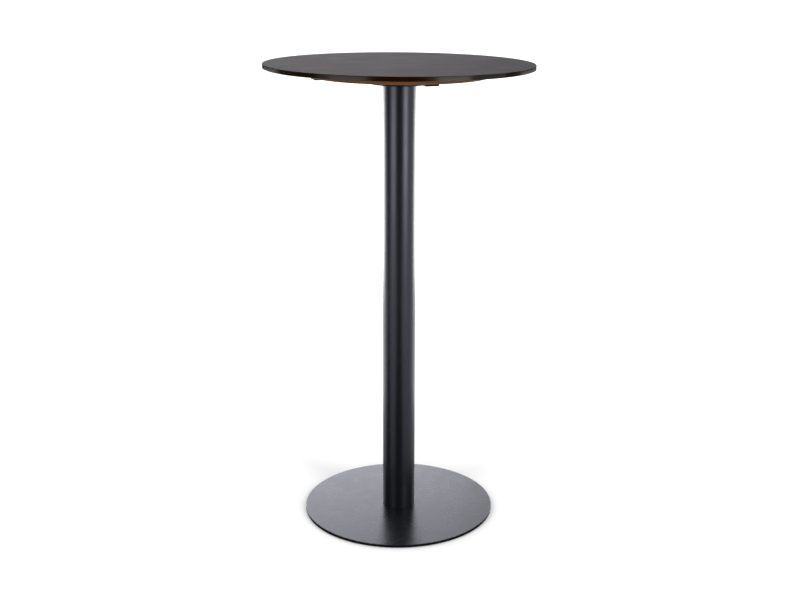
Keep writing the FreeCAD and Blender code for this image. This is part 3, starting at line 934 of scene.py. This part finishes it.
def seen_ray(tree):
    """1 for the rays that show the background: the camera's, a mirror's and a window's."""
    path = add(tree, "ShaderNodeLightPath").node.outputs
    shown = add(tree, "ShaderNodeMath", (path["Is Camera Ray"], path["Is Glossy Ray"]),
                operation="MAXIMUM")
    return add(tree, "ShaderNodeMath", (shown, path["Is Transmission Ray"]), operation="MAXIMUM")


def make_world(stage):
    """Even light all round, and a white background."""
    world = bpy.data.worlds.new("studio")
    bpy.context.scene.world = world
    world.use_nodes = True
    tree = world.node_tree
    tree.nodes.clear()
    light = add(tree, "ShaderNodeBackground", {"Color": (1, 1, 1, 1), "Strength": stage.room_light})
    white = add(tree, "ShaderNodeBackground", {"Color": (1, 1, 1, 1), "Strength": 1.0})
    both = add(tree, "ShaderNodeMixShader", (seen_ray(tree), light, white))
    add(tree, "ShaderNodeOutputWorld", (both,))


def from_axis(tree, place):
    """The distance from the column's foot, and a value that is 1 under the base plate and 0 outside."""
    reach = add(tree, "ShaderNodeVectorMath", (place,), "Value", operation="LENGTH")
    edge = radius_of("base_plate") - FLOOR_EDGE
    return reach, add(tree, "ShaderNodeMapRange", (reach, edge - FLOOR_EDGE, edge, 1.0, 0.0))


def make_floor():
    """A pale floor that keeps the table's shadow, clear from below and under the base."""
    choose()
    bpy.ops.mesh.primitive_plane_add(size=FLOOR_SIZE, location=(0, 0, -FLOOR_SINK))
    floor = settle(named("floor"))
    material, tree, place = begin("pale_floor")
    reach, under = from_axis(tree, place)
    matt = add(tree, "ShaderNodeBsdfDiffuse", {"Color": linear(FLOOR_COLOUR)})
    fade = add(tree, "ShaderNodeMapRange", (reach, GLOW_START, GLOW_END, 0.0, GLOW))
    glow = add(tree, "ShaderNodeEmission", {
        "Strength": add(tree, "ShaderNodeMath", (fade, seen_ray(tree)), operation="MULTIPLY")})
    below = add(tree, "ShaderNodeNewGeometry", output="Backfacing")
    gone = add(tree, "ShaderNodeMath", (below, under), operation="MAXIMUM")
    above = add(tree, "ShaderNodeAddShader", (matt, glow))
    clear = add(tree, "ShaderNodeBsdfTransparent")
    add(tree, "ShaderNodeOutputMaterial", (add(tree, "ShaderNodeMixShader", (gone, above, clear)),))
    paint(floor, material)


def around(angle, distance, height):
    """A point at an azimuth from the camera's side."""
    return (distance * math.sin(angle), -distance * math.cos(angle), height)


def sheen_only(thing):
    """Hides a thing from everything but reflections."""
    thing.visible_camera = False
    thing.visible_diffuse = False
    thing.visible_transmission = False
    thing.visible_volume_scatter = False


def make_lamps(stage):
    """Soft boxes, some of them for matt things alone or for sheens alone."""
    for name, lit, azimuth, distance, height, faced, size, bright in LAMPS:
        place = Vector(around(math.radians(azimuth), distance, height))
        choose()
        bpy.ops.object.light_add(type="AREA", location=place)
        lamp = named(name)
        lamp.rotation_euler = (Vector((0, 0, faced)) - place).to_track_quat("-Z", "Y").to_euler()
        lamp.data.shape = "RECTANGLE"
        lamp.data.size, lamp.data.size_y = size
        lamp.data.energy = stage.lamp_light * bright * math.pi * size[0] * size[1]
        lamp.visible_camera = False
        lamp.visible_glossy = lit != "things"
        if lit == "sheens":
            sheen_only(lamp)


def black_cloth():
    """Cloth of the cards and the oval mats: plain black."""
    material, tree, _ = begin("black_cloth")
    black = add(tree, "ShaderNodeBsdfDiffuse", {"Color": linear(CLOTH_AND_SHADE_COLOUR)})
    add(tree, "ShaderNodeOutputMaterial", (black,))
    return material


def painted_floor_shade():
    """Painted shade for sheens: a black contact-shadow ring, then an even grey fading out; clear under
    it.
    """
    material, tree, place = begin("painted_floor_shade")
    reach, under = from_axis(tree, place)
    edge = radius_of("base_plate")
    grey = add(tree, "ShaderNodeMapRange", (reach, GREY_START, GREY_END, GREY_SHADE, 0.0))
    ring = add(tree, "ShaderNodeMapRange", (reach, edge + RING_WIDTH, edge + 2 * RING_WIDTH, 1.0, 0.0))
    # The ring is a painted contact shadow and the grey a painted floor shade, both seen in reflections
    # only.
    cloth_and_shade = add(tree, "ShaderNodeMath", (grey, ring), operation="MAXIMUM")
    outside = add(tree, "ShaderNodeMath", (1.0, under), operation="SUBTRACT")
    dark = add(tree, "ShaderNodeMath", (cloth_and_shade, outside), operation="MULTIPLY")
    clear = add(tree, "ShaderNodeBsdfTransparent")
    black = add(tree, "ShaderNodeBsdfDiffuse", {"Color": linear(CLOTH_AND_SHADE_COLOUR)})
    add(tree, "ShaderNodeOutputMaterial", (add(tree, "ShaderNodeMixShader", (dark, clear, black)),))
    return material


def finish_flag(name, material, width, depth):
    """Sizes and finishes the card or mat that has just been added."""
    flag = named(name)
    flag.scale = (width, depth, 1)
    settle(flag)
    paint(flag, material)
    sheen_only(flag)
    flag.visible_shadow = False


def make_flags():
    """Cards and mats that only reflections show: flags that keep black black, and painted floor shade."""
    cloth_and_shade = black_cloth()
    for azimuth, width, low in CARDS:
        angle = math.radians(azimuth)
        choose()
        bpy.ops.mesh.primitive_plane_add(size=1, rotation=(math.pi / 2, 0, angle),
                                         location=around(angle, CARD_DISTANCE, (low + CARD_TOP) / 2))
        finish_flag("black_card_%+d" % azimuth, cloth_and_shade, width, CARD_TOP - low)
    near = radius_of("base_plate") + OVAL_GAP
    for azimuth, width in OVAL_MATS:
        angle = math.radians(azimuth)
        choose()
        bpy.ops.mesh.primitive_circle_add(radius=0.5, fill_type="NGON", rotation=(0, 0, angle),
                                          location=around(angle, (near + CARD_DISTANCE) / 2, 0))
        finish_flag("black_mat_%+d" % azimuth, cloth_and_shade, width, CARD_DISTANCE - near)
    # The grey mat paints the floor's shade about the base into reflections.
    choose()
    bpy.ops.mesh.primitive_circle_add(radius=GREY_END, fill_type="NGON", location=(0, 0, FLOOR_SINK))
    finish_flag("floor_shade_mat", painted_floor_shade(), 1, 1)


def make_camera(stage):
    """The camera, a little above the top and looking down."""
    choose()
    bpy.ops.object.camera_add(location=(0, -stage.distance, stage.height))
    camera = named("camera")
    turn = (Matrix.Rotation(-stage.yaw, 4, "Z") @ Matrix.Rotation(math.pi / 2 - stage.pitch, 4, "X")
            @ Matrix.Rotation(stage.roll, 4, "Z"))
    camera.rotation_euler = turn.to_euler()
    camera.data.lens = stage.lens
    camera.data.shift_x = stage.shift
    camera.data.clip_end = FLOOR_SIZE
    bpy.context.scene.camera = camera


class PUBTABLE_OT_stage(bpy.types.Operator):
    """Floor, background, lamps and camera"""

    bl_idname = "pub_table.stage"
    bl_label = "Stage"

    def execute(self, context):
        stage = context.scene.pub_table_stage
        context.scene.view_settings.view_transform = "Standard"
        make_world(stage)
        make_floor()
        make_lamps(stage)
        make_flags()
        make_camera(stage)
        return {"FINISHED"}


# ---------------------------------------------------------------------------
# Panel and run
# ---------------------------------------------------------------------------

OPERATORS = (PUBTABLE_OT_stage, PUBTABLE_OT_laminate_top, PUBTABLE_OT_plywood_disc,
             PUBTABLE_OT_top_screws, PUBTABLE_OT_spider, PUBTABLE_OT_arm_screws,
             PUBTABLE_OT_column, PUBTABLE_OT_base, PUBTABLE_OT_base_screws,
             PUBTABLE_OT_glide_pads, PUBTABLE_OT_inner_parts)
GROUPS = {"pub_table_top": PubTableTop, "pub_table_steel": PubTableSteel,
          "pub_table_fixings": PubTableFixings, "pub_table_stage": PubTableStage}


class PUBTABLE_PT_panel(bpy.types.Panel):
    """The table's pieces and their sizes"""

    bl_idname = "PUBTABLE_PT_panel"
    bl_label = "Pub Table"
    bl_space_type = "VIEW_3D"
    bl_region_type = "UI"
    bl_category = "Pub Table"

    def draw(self, context):
        for operator in OPERATORS:
            self.layout.operator(operator.bl_idname)
        for name, group in GROUPS.items():
            box = self.layout.box()
            for prop in group.__annotations__:
                box.prop(getattr(context.scene, name), prop)


CLASSES = (*GROUPS.values(), *OPERATORS, PUBTABLE_PT_panel)


def register():
    """Adds the classes to Blender, and the property groups to the scene."""
    for cls in CLASSES:
        bpy.utils.register_class(cls)
    for name, group in GROUPS.items():
        setattr(bpy.types.Scene, name, PointerProperty(type=group))


def unregister():
    """Takes them out again."""
    for name in GROUPS:
        delattr(bpy.types.Scene, name)
    for cls in reversed(CLASSES):
        bpy.utils.unregister_class(cls)


def main():
    """Makes every piece and the stage."""
    register()
    for operator in OPERATORS:
        getattr(bpy.ops.pub_table, operator.bl_idname.split(".")[1])()


if __name__ == "__main__":
    main()
